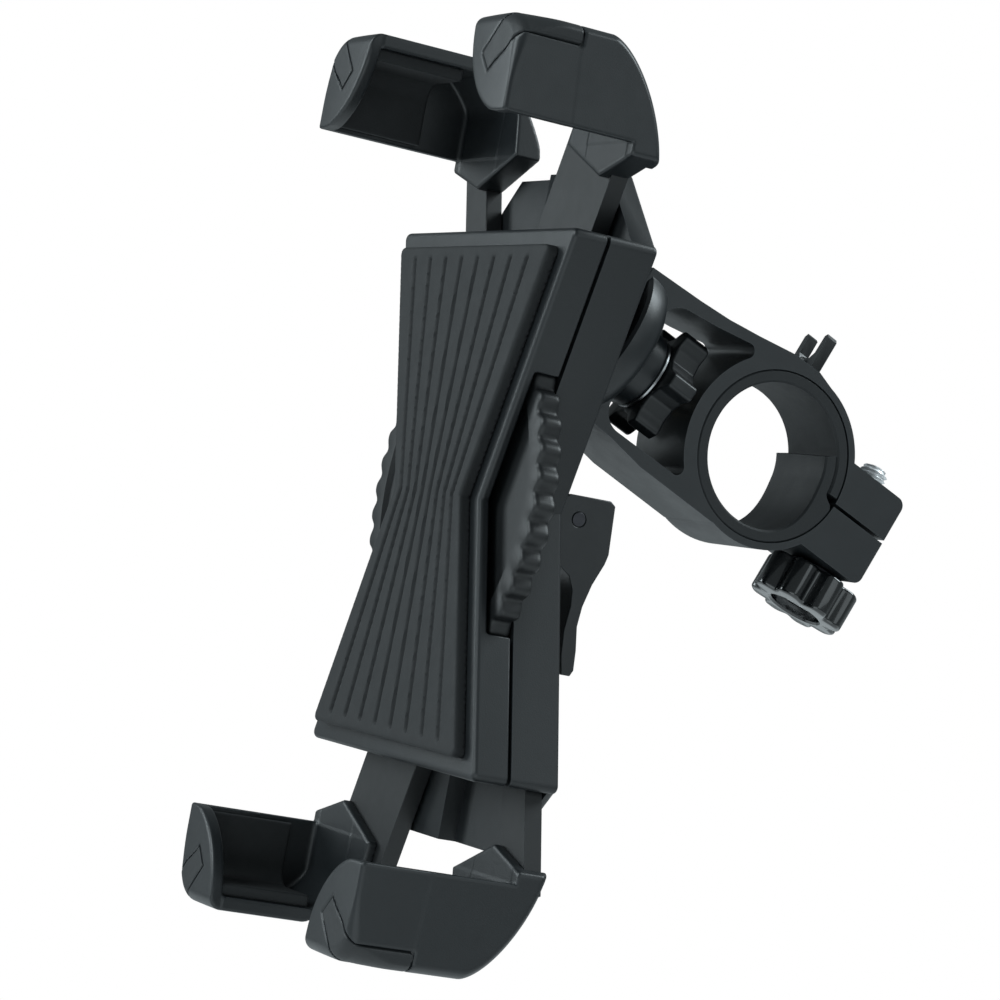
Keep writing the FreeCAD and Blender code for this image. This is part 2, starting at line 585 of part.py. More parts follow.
def cam_lever():
    """Quick-release lever: a square cam head and a curved finger tab."""
    cam_r = LEVER_PIN_D - LEVER_FLAT
    cam = [(LEVER_PIN_D - cam_r * math.cos(math.radians(a)), cam_r * math.sin(math.radians(a)))
           for a in range(0, 61, 10)]
    head = cam + [(35.3, 3.9), (36.2, 3.2), (36.6, -4.8), (36.2, -6.4)]
    tab_out = [(34.6, -10.1), (33.6, -13.8), (33.3, -17.1), (33.9, -21.0), (34.1, -24.2), (33.6, -25.2)]
    tab_in = [(32.0, -25.2), (31.3, -22.0), (31.0, -18.0), (31.4, -14.0), (31.2, -11.4), (30.2, -9.3),
              (28.2, -7.9), (LEVER_FLAT, -7.2)]
    lever = plate_x(head + tab_out + tab_in, -LEVER_HALF_W, LEVER_HALF_W)
    slot = box(-EYE_HALF_W - 0.25, EYE_HALF_W + 0.25, LEVER_FLAT - 1, 34.0, -8.5, 6)
    lever = lever.cut(slot).cut(cylinder(PIN_R + RUN, (-15, LEVER_PIN_D, 0), (1, 0, 0), 30))
    return to_cradle(lever)


# ---- arms and claws ----
def rack_teeth(kind, pair_sign):
    """Teeth on an arm's inner edge, in mesh with the pinion at rest."""
    depth0, depth1 = LAYERS[kind]
    contact = arm_point(kind, 0, 1)
    along_s = arm_point(kind, 1, 0)
    facing = math.atan2(pair_sign * contact[1], pair_sign * contact[0])
    pitch = math.pi * MODULE
    step = 2 * math.pi / PINION_TEETH
    lead = (-facing) % step
    tangent = (-math.sin(facing), math.cos(facing))
    sense = pair_sign * (tangent[0] * along_s[0] + tangent[1] * along_s[1])
    phase = PITCH_R * lead * sense
    half_pitch_line = math.pi * MODULE / 4 - 0.06
    slope = math.tan(math.radians(PRESSURE))
    tip, root = PITCH_R - 0.8, PITCH_R + 1.1
    teeth = []
    first = -EXTEND - 2.0
    last = RETRACT + 2.0
    for i in range(-8, 9):
        middle = phase + (i + 0.5) * pitch
        if first < middle < last:
            half_tip = half_pitch_line - (PITCH_R - tip) * slope
            half_root = half_pitch_line + (root - PITCH_R) * slope
            outline = [(middle - half_root, root), (middle - half_tip, tip),
                       (middle + half_tip, tip), (middle + half_root, root)]
            teeth.append(plate_y([arm_point(kind, p[0], p[1]) for p in outline], depth0, depth1))
    return teeth


def wide_part(start, end, grow=0.0):
    """The front pair's bars widen outside the pinion's reach."""
    depth0, depth1 = LAYERS["front"]
    outline = [(start, -WIDE_IN - grow), (end, -WIDE_IN - grow), (end, ARM_OUT + grow), (start, ARM_OUT + grow)]
    return plate_y([arm_point("front", p[0], p[1]) for p in outline], depth0 - grow, depth1 + grow)


def arm(kind, pair_sign):
    depth0, depth1 = LAYERS[kind]
    root = PITCH_R + 1.1
    outline = [(-EXTEND - 3.5, root), (RETRACT + 3.5, root), (RETRACT + 4.5, PITCH_R - 0.8),
               (ARM_TIP, PITCH_R - 0.8), (ARM_TIP, ARM_OUT), (-EXTEND - 3.5, ARM_OUT)]
    bar = plate_y([arm_point(kind, p[0], p[1]) for p in outline], depth0, depth1)
    bar = bar.fuse(rack_teeth(kind, pair_sign))
    if kind == "front":
        bar = bar.fuse(wide_part(38.0, ARM_TIP))
    bar = bar.removeSplitter()
    x, z = claw_screw_spot(kind)
    bar = bar.cut(cylinder(1.4, (x, depth0 - 1, z), (0, 1, 0), 6))
    return bar


def claw_screw_spot(kind):
    return arm_point(kind, ARM_TIP - 4.0, 2.0 if kind == "front" else 7.5)


def side_profile(back, inset=0.0):
    """Side view of a claw, with a large curve at its upper back corner, as a prism along X."""
    top, low = CLAW_H - inset, CLAW_H - CLAW_CURVE[-1][1]
    slant = 0.72 * inset
    points = [V(0, back - p[0] - slant, CLAW_H - p[1] - slant) for p in CLAW_CURVE]
    points[0] = V(0, back - CLAW_CURVE[0][0] - slant, top)
    points[-1] = V(0, back - inset, low)
    curve = Part.BSplineCurve()
    free = [V(0, 0, 0)] * (len(points) - 2)
    curve.interpolate(Points=points, Tangents=[V(0, 1, 0)] + free + [V(0, 0, -1)],
                      TangentFlags=[True] + [False] * len(free) + [True])
    start = points[0]
    loop = [points[-1], V(0, back - inset, 45.0), V(0, CLAW_FRONT, 45.0), V(0, CLAW_FRONT, top), start]
    lines = [Part.LineSegment(loop[i], loop[i + 1]).toShape() for i in range(len(loop) - 1)]
    return Part.Face(Part.Wire([curve.toShape()] + lines)).extrude(V(CLAW_X - inset, 0, 0))


def outer_corner(edge, middle, inset):
    """The edge between a claw's side wall and its end wall."""
    if abs(middle.x - CLAW_X + inset) > 1e-6 or along(edge, Z_AXIS):
        return False
    return middle.z > CLAW_LOW and middle.y > CLAW_FRONT + 1


def claw_pocket(kind):
    """Space inside a claw, between its lip and its back wall."""
    back = LAYERS[kind][1]
    return side_profile(back + CLAW_REAR, CLAW_WALL).common(
        box(0, CLAW_X - CLAW_WALL, CLAW_FRONT + LIP_T, back - CLAW_BACK_WALL, 40.0, CLAW_H - END_WALL))


def claw_blank(kind, inset=0.0):
    """A claw's outer form before it is hollowed and trimmed."""
    blank = side_profile(LAYERS[kind][1] + CLAW_REAR, inset)
    edges = [e for e in blank.Edges if outer_corner(e, e.valueAt((e.FirstParameter + e.LastParameter) / 2), inset)]
    return blank.makeFillet(CORNER_R - inset, edges)


def claw(kind):
    """Upper right claw: side wall, end wall, front lip, and the back wall on the arm."""
    back = LAYERS[kind][1]
    wall_d = back - CLAW_BACK_WALL
    solid = claw_blank(kind).cut(claw_pocket(kind))
    solid = solid.cut(box(-1, 20.0, CLAW_FRONT - 1, wall_d, 40, CLAW_H + 1))
    solid = solid.cut(box(-1, 40.0, CLAW_FRONT - 1, wall_d + 0.01, 40, CLAW_LOW))
    lip_zone = box(0, 60, CLAW_FRONT - 1, CLAW_FRONT + LIP_T, 40, 80)
    solid = solid.cut(lip_zone.cut(cylinder(LIP_R, (CLAW_X, CLAW_FRONT - 2, CLAW_H), (0, 1, 0), 8)))
    web = plate_y([(CLAW_X + 1, 56.2), (26.0, 52.8), (13.0, 58.2), (17.0, CLAW_H + 1), (CLAW_X + 1, CLAW_H + 1)],
                  wall_d - 0.5, back)
    rear = plate_y([(CLAW_X + 1, 56.2), (31.4, 56.2), (22.4, 65.2), (15.5, 66.5), (17.0, CLAW_H + 1),
                    (CLAW_X + 1, CLAW_H + 1)], back, back + CLAW_REAR + 1)
    keep = web.fuse(rear)
    solid = solid.cut(box(-1, 60, wall_d, back + 4, 40, 80).cut(keep)).removeSplitter()
    solid = fillet_near(solid, 0.8, front_rim)
    x, z = mirrored_spot(kind)
    return solid.cut(arm_groove(kind)).cut(cylinder(1.15, (x, wall_d - 1, z), (0, 1, 0), 8))


def front_rim(edge, middle):
    """Edges round the front of the lip."""
    return abs(middle.y - CLAW_FRONT) < 1e-6


def mirrored_spot(kind):
    """Screw position in the upper right claw; the back pair's claws are made mirrored."""
    x, z = claw_screw_spot(kind)
    return (x, abs(z))


def arm_groove(kind):
    """Pocket in the back wall that the arm's end lies in."""
    bar = arm_bar(kind, 40.0, ARM_TIP)
    if kind == "front":
        return bar.fuse(wide_part(40.0, ARM_TIP))
    return bar.mirror(V(0, 0, 0), Z_AXIS)


def claw_pad(kind):
    """L-shaped rubber pad on the inside of a claw's side wall and end wall."""
    outer = claw_pocket(kind).common(box(21.0, CLAW_X, CLAW_FRONT + LIP_T + 0.2, 9.6, CLAW_LOW + 0.8, CLAW_H))
    return outer.cut(box(0, CLAW_X - CLAW_WALL - PAD_T, -10, 12, 40, PHONE_L / 2 + 0.1))


def accent(kind):
    """Strip let into the rounded edge between the end wall and the side wall."""
    band = box(28.0, CLAW_X + 1, CLAW_FRONT + 2.4, 2.9, CLAW_H - CORNER_R - 0.4, CLAW_H + 1)
    return claw_blank(kind).common(band).cut(claw_blank(kind, ACCENT_T))


def claw_screw(kind):
    x, z = mirrored_spot(kind)
    depth0, depth1 = LAYERS[kind]
    shank = cylinder(1.1, (x, depth0 - 1.6, z), (0, 1, 0), depth1 - depth0 + 1.6)
    return shank


def corner(kind, pair_sign):
    """All the pieces of one corner: arm, claw, accent strip, pad and screw."""
    pieces = {"arm": arm(kind, pair_sign)}
    strip = accent(kind)
    others = {"claw": claw(kind).cut(strip), "accent": strip, "pad": claw_pad(kind), "screw": claw_screw(kind)}
    for name, shape in others.items():
        pieces[name] = shape if kind == "front" else shape.mirror(V(0, 0, 0), Z_AXIS)
    if pair_sign < 0:
        pieces = {name: half_turn(shape) for name, shape in pieces.items()}
    return {name: to_cradle(shape) for name, shape in pieces.items()}


CORNERS = {"upper_right": ("front", 1), "lower_left": ("front", -1),
           "lower_right": ("back", 1), "upper_left": ("back", -1)}

save("clamp_frame", clamp_frame())
save("pinch_nut", pinch_nut())
save("ring_liner", ring_liner())
save("clamp_bolt", clamp_bolt())
save("clamp_knob", clamp_knob())
save("knob_washer", knob_washer())
save("wing_screw", wing_screw())
save("star_nut", star_nut())
save("star_nut_insert", star_nut_insert())
save("star_washer", star_washer())
save("ball_stud", ball_stud())
save("slot_washer", slot_washer())
save("ball_dome", ball_dome())
save("front_shell", front_shell())
save("back_shell", back_shell())
save("shell_screws", shell_screws())
save("front_pad", front_pad())
save("thumb_wheel", thumb_wheel())
save("pinion", pinion())
save("draw_bolt", draw_bolt())
save("lever_pin", lever_pin())
save("cam_plate", cam_plate())
save("cam_lever", cam_lever())
for corner_name, (pair, sign) in CORNERS.items():
    for piece_name, piece in corner(pair, sign).items():
        save(piece_name + "_" + corner_name, piece)
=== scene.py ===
import json
import math

import bmesh
import bpy
import numpy as np
from mathutils import Matrix, Vector


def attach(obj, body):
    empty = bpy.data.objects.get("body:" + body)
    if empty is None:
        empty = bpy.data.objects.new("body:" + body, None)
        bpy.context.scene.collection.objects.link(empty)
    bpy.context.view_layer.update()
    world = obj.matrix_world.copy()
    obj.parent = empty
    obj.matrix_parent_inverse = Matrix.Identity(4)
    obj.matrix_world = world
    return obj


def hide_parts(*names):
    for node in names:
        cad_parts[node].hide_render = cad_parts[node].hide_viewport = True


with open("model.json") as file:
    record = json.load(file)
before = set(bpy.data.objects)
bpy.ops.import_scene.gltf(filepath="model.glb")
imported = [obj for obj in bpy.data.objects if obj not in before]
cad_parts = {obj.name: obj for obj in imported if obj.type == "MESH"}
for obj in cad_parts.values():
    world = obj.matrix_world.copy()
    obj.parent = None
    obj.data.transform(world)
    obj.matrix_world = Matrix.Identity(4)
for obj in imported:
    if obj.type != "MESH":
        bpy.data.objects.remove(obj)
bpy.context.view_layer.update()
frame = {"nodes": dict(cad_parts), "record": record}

MM = 0.001


def linked(name, data):
    """A new object in the scene."""
    obj = bpy.data.objects.new(name, data)
    bpy.context.scene.collection.objects.link(obj)
    return obj


# ---- camera, solved from the corners of the phone in the photograph ----
AIM = Vector((0.0, -64.9, -17.3)) * MM
AZIMUTH, ELEVATION, ROLL = 64.39, -1.84, 10.54
SHIFT_RIGHT, SHIFT_DOWN, DISTANCE = -18.63 * MM, -2.29 * MM, 593.5 * MM
LENS, SENSOR, CLIP_START = 132.93, 36.0, 0.02


def make_camera():
    """The camera aims by turning and moving; it has no lens shift and no depth of field."""
    a, e, r = (math.radians(v) for v in (AZIMUTH, ELEVATION, ROLL))
    back = Vector((math.sin(a) * math.cos(e), -math.cos(a) * math.cos(e), math.sin(e)))
    right = (-back).cross(Vector((0, 0, 1))).normalized()
    up = right.cross(-back)
    right_rolled = right * math.cos(r) + up * math.sin(r)
    up_rolled = up * math.cos(r) - right * math.sin(r)
    place = AIM - right_rolled * SHIFT_RIGHT + up_rolled * SHIFT_DOWN + back * DISTANCE
    data = bpy.data.cameras.new("camera")
    data.lens, data.sensor_width, data.clip_start = LENS, SENSOR, CLIP_START
    cam = linked("camera", data)
    turn = Matrix((right_rolled, up_rolled, back)).transposed()
    cam.matrix_world = Matrix.Translation(place) @ turn.to_4x4()
    bpy.context.scene.camera = cam


# ---- materials; noise scales are in features per metre ----
COOL, IVORY = (0.80, 1.0, 1.14), (1.0, 0.99, 0.95)
# the first width sets how far the painted edge highlight reaches in from an edge
EDGE_HIGHLIGHT_WIDTH, GRAIN_DEPTH, SCRATCH_DEPTH = 0.4 * MM, 0.06 * MM, 0.02 * MM
COLOUR_SCALE, GLOSS_SCALE, MARK_SCALE, METAL_GLOSS_SCALE = 45.0, 260.0, 1500.0, 300.0


def new_material(name):
    mat = bpy.data.materials.new(name)
    mat.use_nodes = True
    tree = mat.node_tree
    return mat, tree, tree.nodes["Principled BSDF"]


def noise(tree, scale, detail=3.0, rough=0.6, stretch=(1, 1, 1)):
    """Noise in the object's own coordinates."""
    where = tree.nodes.new("ShaderNodeTexCoord")
    mapping = tree.nodes.new("ShaderNodeMapping")
    mapping.inputs["Scale"].default_value = stretch
    tree.links.new(where.outputs["Object"], mapping.inputs["Vector"])
    tex = tree.nodes.new("ShaderNodeTexNoise")
    tex.inputs["Scale"].default_value = scale
    tex.inputs["Detail"].default_value = detail
    tex.inputs["Roughness"].default_value = rough
    tree.links.new(mapping.outputs["Vector"], tex.inputs["Vector"])
    return tex.outputs["Fac"]


def ranged(tree, source, low, high, from_low=0.3, from_high=0.7):
    """Maps a value linearly onto low to high; noise mostly lies between 0.3 and 0.7."""
    node = tree.nodes.new("ShaderNodeMapRange")
    node.inputs["From Min"].default_value = from_low
    node.inputs["From Max"].default_value = from_high
    node.inputs["To Min"].default_value = low
    node.inputs["To Max"].default_value = high
    tree.links.new(source, node.inputs["Value"])
    return node.outputs["Result"]


def mixed(tree, factor, a, b):
    """Mix of two colours, each of them a tuple or another node's output."""
    node = tree.nodes.new("ShaderNodeMix")
    node.data_type = "RGBA"
    for socket, value in ((node.inputs["Factor"], factor), (node.inputs[6], a), (node.inputs[7], b)):
        if isinstance(value, tuple):
            socket.default_value = value
        else:
            tree.links.new(value, socket)
    return node.outputs[2]


def edge_highlight_mask(tree, radius):
    """1 near sharp edges, 0 on flat faces; it places the painted edge highlight."""
    bevel = tree.nodes.new("ShaderNodeBevel")
    bevel.samples = 4
    bevel.inputs["Radius"].default_value = radius
    geometry = tree.nodes.new("ShaderNodeNewGeometry")
    dot = tree.nodes.new("ShaderNodeVectorMath")
    dot.operation = "DOT_PRODUCT"
    tree.links.new(bevel.outputs["Normal"], dot.inputs[0])
    tree.links.new(geometry.outputs["Normal"], dot.inputs[1])
    return ranged(tree, dot.outputs["Value"], 1.0, 0.0, 0.90, 0.995)


def add_bump(tree, shader, height, strength, distance):
    bump = tree.nodes.new("ShaderNodeBump")
    bump.inputs["Strength"].default_value = strength
    bump.inputs["Distance"].default_value = distance
    tree.links.new(height, bump.inputs["Height"])
    tree.links.new(bump.outputs["Normal"], shader.inputs["Normal"])


def tinted(value, tint):
    return (value * tint[0], value * tint[1], value * tint[2], 1.0)


def plastic(name, value, rough, grain, bump, edge=1.5, tint=COOL, coat=0.0):
    """Moulded plastic: spark texture, slow colour change and edges painted paler as a highlight."""
    mat, tree, shader = new_material(name)
    slow = ranged(tree, noise(tree, COLOUR_SCALE, 4.0), 0.0, 1.0)
    base = mixed(tree, slow, tinted(value * 0.92, tint), tinted(value * 1.08, tint))
    # painted highlight: the colour is made paler along edges, where light would catch them
    highlighted_edges = mixed(tree, edge_highlight_mask(tree, EDGE_HIGHLIGHT_WIDTH), base, tinted(value * edge + 0.003, tint))
    tree.links.new(highlighted_edges, shader.inputs["Base Color"])
    spread = ranged(tree, noise(tree, GLOSS_SCALE), rough - 0.03, rough + 0.03)
    tree.links.new(spread, shader.inputs["Roughness"])
    add_bump(tree, shader, noise(tree, grain, 2.0), bump, GRAIN_DEPTH)
    shader.inputs["IOR"].default_value = 1.5
    shader.inputs["Coat Weight"].default_value = coat
    shader.inputs["Coat Roughness"].default_value = 0.06
    return mat


def metal(name, colour, rough, stretch, bump=0.15):
    """Plated or turned metal with fine marks in one direction."""
    mat, tree, shader = new_material(name)
    marks = noise(tree, MARK_SCALE, stretch=stretch)
    dark = tuple(c * 0.82 for c in colour) + (1.0,)
    shade = mixed(tree, ranged(tree, marks, 0.0, 1.0), dark, colour + (1.0,))
    tree.links.new(shade, shader.inputs["Base Color"])
    spread = ranged(tree, noise(tree, METAL_GLOSS_SCALE, 4.0), rough - 0.07, rough + 0.1)
    tree.links.new(spread, shader.inputs["Roughness"])
    add_bump(tree, shader, marks, bump, SCRATCH_DEPTH)
    shader.inputs["Metallic"].default_value = 1.0
    return mat


# value, roughness, grain, bump, and where they differ from the rest: painted edge highlight, tint, coat
PLASTICS = {
    "frame_plastic": (0.0115, 0.40, 5200.0, 0.20),
    "shell_plastic": (0.0090, 0.44, 4200.0, 0.35),
    "claw_plastic": (0.0100, 0.40, 4200.0, 0.30),
    "accent_plastic": (0.0080, 0.50, 3200.0, 0.55),
    "arm_plastic": (0.0045, 0.50, 5200.0, 0.20),
    # painted shade: the wheel's colour is set darker than its own dark plastic, standing in for the
    # phone's shadow over it
    "wheel_plastic": (0.0045, 0.48, 5200.0, 0.20),
    "gear_plastic": (0.30, 0.45, 5200.0, 0.15, 1.5, IVORY),
    "lever_plastic": (0.0075, 0.38, 5200.0, 0.20),
    "ball_plastic": (0.0070, 0.46, 3600.0, 0.30),
    "nut_plastic": (0.0070, 0.40, 5200.0, 0.20),
    "knob_plastic": (0.0045, 0.22, 6000.0, 0.02, 1.5, COOL, 0.8),
    "liner_rubber": (0.0085, 0.60, 3000.0, 0.40, 1.3),
    "pad_rubber": (0.0060, 0.70, 3000.0, 0.50, 1.3),
}
# colour, roughness, stretch of the marks
METALS = {
    "steel": ((0.52, 0.53, 0.54), 0.32, (1.0, 0.15, 1.0)),
    "bright_steel": ((0.90, 0.91, 0.92), 0.46, (1.0, 1.0, 0.2)),
    "dark_steel": ((0.050, 0.050, 0.055), 0.34, (1.0, 0.3, 1.0)),
    "brass": ((0.60, 0.45, 0.20), 0.28, (1.0, 0.2, 1.0)),
}
MATERIALS = {slot: plastic(slot, *values) for slot, values in PLASTICS.items()}
MATERIALS.update({slot: metal(slot, *values) for slot, values in METALS.items()})

SLOT_OF = {row["node"]: row["material_slot"] for row in frame["record"]["subparts"]}
BODY_OF = {node: body for body, nodes in frame["record"]["behaviour"]["bodies"].items() for node in nodes}


# ---- mesh helpers ----
MERGE, FLAT_DEGREES = 0.004 * MM, 0.6      # for clean bevels on the CAD's triangles


def smooth_by_angle(mesh, degrees=34.0):
    for poly in mesh.polygons:
        poly.use_smooth = True
    mesh.set_sharp_from_angle(angle=math.radians(degrees))


def finish_piece(obj, node, hide=True):
    """Gives a piece its body and material slot, and lets it stand for a CAD node."""
    obj.data.materials.clear()
    obj.data.materials.append(MATERIALS[SLOT_OF[node]])
    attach(obj, BODY_OF[node])
    if hide:
        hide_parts(node)


def place_piece(name, mesh, node, angle=40.0, hide=True):
    smooth_by_angle(mesh, angle)
    finish_piece(linked(name, mesh), node, hide)


def softened(node, width, segments=2, angle=32.0):
    """A copy of a CAD node with small rounded edges, which stands for it."""
    mesh = frame["nodes"][node].data.copy()
    mesh.name = node + "_soft"
    bm = bmesh.new()
    bm.from_mesh(mesh)
    bmesh.ops.remove_doubles(bm, verts=bm.verts, dist=MERGE)
    bmesh.ops.dissolve_limit(bm, angle_limit=math.radians(FLAT_DEGREES), verts=bm.verts, edges=bm.edges)
    bm.to_mesh(mesh)
    bm.free()
    obj = linked(node + "_soft", mesh)
    bevel = obj.modifiers.new("edges", "BEVEL")
    bevel.width = width * MM
    bevel.segments = segments
    bevel.limit_method = "ANGLE"
    bevel.angle_limit = math.radians(angle)
    bevel.use_clamp_overlap = True
    bevel.harden_normals = False
    bevel.miter_outer = "MITER_ARC"
    smooth_by_angle(mesh)
    finish_piece(obj, node)


def mesh_from(name, points, faces):
    """Mesh from points in millimetres."""
    mesh = bpy.data.meshes.new(name)
    mesh.from_pydata((np.asarray(points) * MM).tolist(), [], faces)
    mesh.validate()
    return mesh


def outward_mesh(name, points, faces):
    """Closed mesh from points in millimetres, with its faces turned outwards."""
    mesh = mesh_from(name, points, faces)
    bm = bmesh.new()
    bm.from_mesh(mesh)
    bmesh.ops.recalc_face_normals(bm, faces=bm.faces)
    bm.to_mesh(mesh)
    bm.free()
    return mesh


def tube_faces(rings, steps, joined=False):
    """Quads between rings of points; the last ring joins the first, or both ends get a cap."""
    faces = []
    for ring in range(rings if joined else rings - 1):
        after = (ring + 1) % rings
        for i in range(steps):
            j = (i + 1) % steps
            faces.append((ring * steps + i, ring * steps + j, after * steps + j, after * steps + i))
    if not joined:
        faces.append(tuple(range(steps))[::-1])
        faces.append(tuple((rings - 1) * steps + i for i in range(steps)))
    return faces


# ---- shapes from distance fields, in millimetres and negative inside ----
PULL_ROUNDS, PULL_LIMIT, SLOPE_STEP, LEAST_STEEP = 2, 0.12, 0.02, 0.25


def smooth_step(values):
    t = np.clip(values, 0.0, 1.0)
    return t * t * (3 - 2 * t)


def rounded_and(a, b, radius):
    """Intersection of two distance fields with a rounded edge."""
    u = np.maximum(a + radius, 0.0)
    w = np.maximum(b + radius, 0.0)
    return np.minimum(-radius, np.maximum(a, b)) + np.hypot(u, w)


def all_of(first, *others):
    """Sharp intersection of distance fields."""
    for other in others:
        first = np.maximum(first, other)
    return first


def cut(form, tool, radius=None):
    """A form without a tool's volume, with a rounded edge where a radius is given."""
    return np.maximum(form, -tool) if radius is None else rounded_and(form, -tool, radius)


def pulled_onto(surface, points):
    """Moves points along the field's gradient until they lie on its zero surface."""
    small = SLOPE_STEP
    for _ in range(PULL_ROUNDS):
        x, y, z = points.T
        value = surface(x, y, z)
        slope = np.stack([surface(x + small, y, z) - surface(x - small, y, z),
                          surface(x, y + small, z) - surface(x, y - small, z),
                          surface(x, y, z + small) - surface(x, y, z - small)], 1) / (2 * small)
        steep = np.maximum((slope ** 2).sum(1), LEAST_STEEP)
        step = np.clip(value / steep, -PULL_LIMIT, PULL_LIMIT)
        points = points - slope * step[:, None]
    return points


def net_mesh(name, surface, low, high, step):
    """Quad mesh of a field's zero surface, one vertex in each cell that it crosses."""
    axes = [np.arange(a, b + step, step) for a, b in zip(low, high)]
    field = surface(*np.meshgrid(*axes, indexing="ij"))
    cells = tuple(n - 1 for n in field.shape)
    total = np.zeros(cells + (3,))
    count = np.zeros(cells)
    for axis in range(3):
        a, b = [n for n in range(3) if n != axis]
        for p in (0, 1):
            for q in (0, 1):
                start = [0, 0, 0]
                start[a], start[b] = p, q
                end = list(start)
                end[axis] = 1
                first, second = (field[i:i + cells[0], j:j + cells[1], k:k + cells[2]]
                                 for i, j, k in (start, end))
                crossed = (first < 0) != (second < 0)
                share = np.where(crossed, first / np.where(crossed, first - second, 1.0), 0.0)
                for n in range(3):
                    total[..., n] += np.where(crossed, share if n == axis else start[n], 0.0)
                count += crossed
    used = count > 0
    index = np.full(cells, -1)
    index[used] = np.arange(used.sum())
    where = np.argwhere(used) + total[used] / count[used][:, None]
    verts = pulled_onto(surface, where * step + np.array(low))
    inside = field < 0
    quads = []
    for axis in range(3):
        a, b = [n for n in range(3) if n != axis]
        lower, upper = [slice(None)] * 3, [slice(None)] * 3
        lower[axis], upper[axis] = slice(0, -1), slice(1, None)
        low_in = inside[tuple(lower)]
        flips = np.argwhere(low_in != inside[tuple(upper)])
        inner = (flips[:, a] > 0) & (flips[:, b] > 0) & (flips[:, a] < cells[a]) & (flips[:, b] < cells[b])
        flips = flips[inner]
        ring = []
        for da, db in ((-1, -1), (0, -1), (0, 0), (-1, 0)):
            cell = flips.copy()
            cell[:, a] += da
            cell[:, b] += db
            ring.append(index[tuple(cell.T)])
        quad = np.stack(ring, 1)
        outward = low_in[tuple(flips.T)] != (axis == 1)
        quad[~outward] = quad[~outward][:, ::-1]
        quads.append(quad)
    return mesh_from(name, verts, np.concatenate(quads).tolist())


# ---- claws, in the cradle's own frame: x right, y behind the phone's glass, z above the centre ----
CRADLE_SHIFT = Vector((0.0, -64.9, -16.8)) * MM
CLAW_X, CLAW_H = 36.5, 73.6                          # side face and top edge
CLAW_LOW, CLAW_INNER, RIM_ROUND = 57.8, 20.0, 0.35   # where the two walls round the phone's corner end
CURVE_Y, CURVE_Z, CURVE_POWER = 11.8, 18.6, 1.53     # reach of the curved back, and its fullness
TOP_ROUND, FACET = 2.9, 0.9                          # the side face's edge, and how crisp it is
NOSE_ROUND, NOSE_FROM, NOSE_SPAN = 3.6, 0.5, 9.0     # the edge grows rounder towards the lip
PARTING_Y, PARTING_H, PARTING_LEAN = 2.9, 70.9, 0.064
PARTING_STEP, PARTING_BLUR, CRISP = 0.08, 0.4, 0.12
LIP_FACE, LIP_BACK, LIP_R, LIP_ROUND = -8.4, -6.2, 16.5, 0.5
LIP_CROWN, LIP_MID, LIP_HALF = 0.35, 27.0, 10.0
LIP_LEAN, LIP_LEAN_FROM = 0.02, 66.0
LIP_EDGE, LIP_EDGE_MORE, LIP_EDGE_FROM, LIP_EDGE_SPAN = 0.7, 1.3, 62.0, 9.0
POCKET_X, POCKET_H, POCKET_ROUND = 34.7, 71.2, 0.8
WALL, REAR_WALL, BACK_WALL = 1.8, 1.2, 4.8           # side, behind the arm, and to the pocket's floor
# the lug's sides: a point on each line and its direction across, in x and z
LUG_LINES = ((CLAW_X + 1, 56.2, -0.283, 0.959), (26.0, 52.8, 0.383, 0.923),
             (17.0, CLAW_H + 1, 0.969, -0.246))
LUG_ROUND = 0.55
CHAMFER_SUM, CHAMFER_H, CHAMFER_ROUND = 87.6, 66.0, 0.3
SPLAY = math.radians(21.0)
ARM_DEPTHS = {"front": (16.4, 19.4), "back": (19.8, 22.8)}
ARM_TIP, ARM_OUT, ARM_NEAR = 68.0, 12.4, {"front": -6.4, "back": 4.7}
BRIDGE_X, LEAST_BRIDGE, SLOT_LAP, SLOT_ROUND = 34.9, 0.5, 0.2, 0.1   # wall left behind the arm
ACCENT_IN, ACCENT_OUT, ACCENT_FLARE, ACCENT_FLARE_AT, ACCENT_FLARE_SPAN = -4.4, 1.2, 1.6, 17.0, 9.0
ACCENT_REACH, ACCENT_END = 17.2, 2.9
ACCENT_T, ACCENT_GAP, ACCENT_RECESS = 0.7, 0.28, 0.55
ACROSS_TO_DISTANCE, DIAGONAL = 0.7, 0.707
PAD_GAP, PAD_ROUND = 0.1, 0.3
PAD_X, PAD_H, PAD_CORNER = 33.6, 69.15, 3.0
PAD_LIP_GAP, PAD_BACK, PAD_INNER, PAD_LOW_GAP = 0.2, 9.6, 21.0, 0.8
CLAW_STEP, FINE_STEP = 0.3, 0.25
CORNERS = {"upper_right": ("front", 1, 1), "lower_left": ("front", -1, -1),
           "lower_right": ("back", 1, -1), "upper_left": ("back", -1, 1)}


